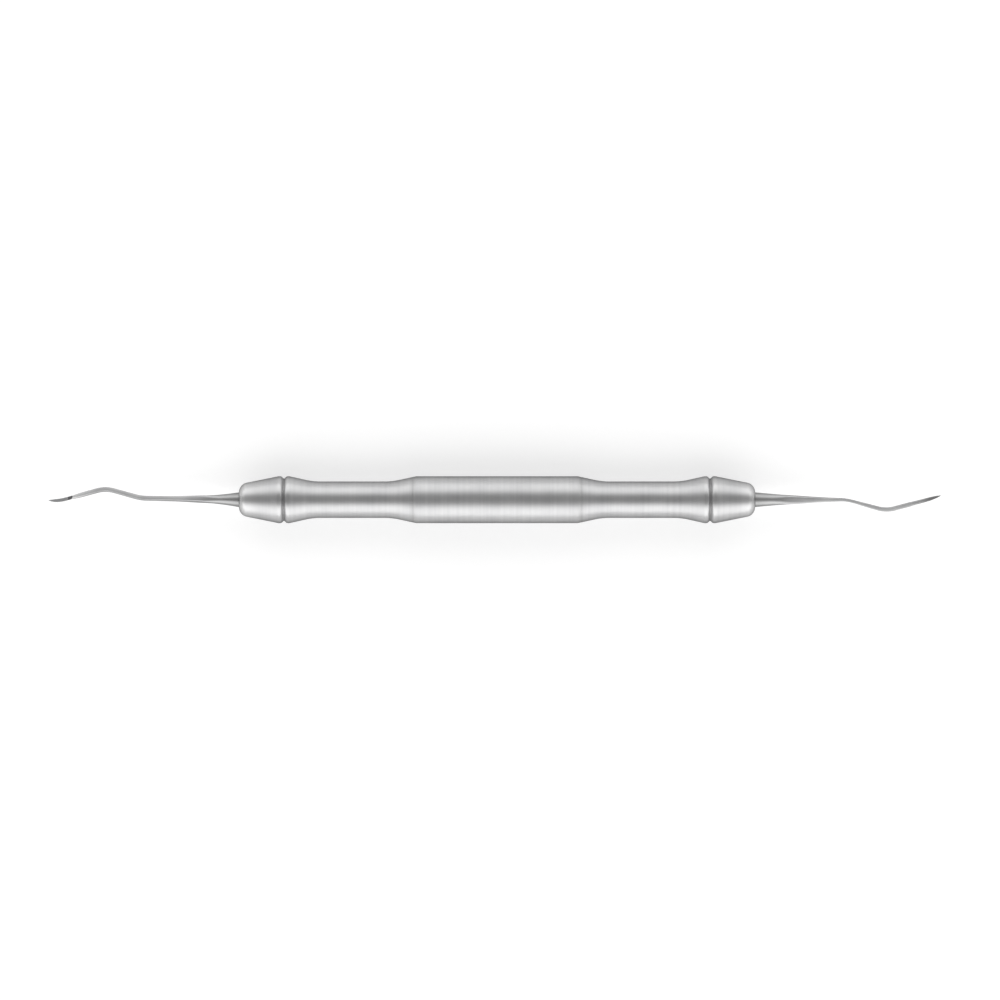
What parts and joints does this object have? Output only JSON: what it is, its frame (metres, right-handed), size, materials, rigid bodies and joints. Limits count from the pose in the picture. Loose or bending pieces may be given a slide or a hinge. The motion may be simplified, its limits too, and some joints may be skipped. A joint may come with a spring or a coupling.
{
  "type": "double-ended dental scaler",
  "caption": "Double-ended hand scaler: a tubular steel handle with turned waists and grooves, and a slim bent shank with a ground blade at each end.",
  "frame": {"origin": "on the handle's axis, half way along the centre barrel", "axes": "+X along the handle towards the right working end; +Y towards the left shank's apex, upwards in the picture; +Z out of the picture, upwards as the instrument lies on its side"},
  "size_m": [0.1784, 0.0094, 0.0094],
  "materials": {
    "satin_handle": "satin stainless steel with fine turning lines round the handle",
    "polished_shank": "finely polished stainless steel with faint grinding marks along the shank"
  },
  "bodies": {
    "root": {"handle_barrel": "satin_handle", "grip_left": "satin_handle", "grip_right": "satin_handle", "working_end_left": "polished_shank", "working_end_right": "polished_shank"}
  },
  "joints": []
}
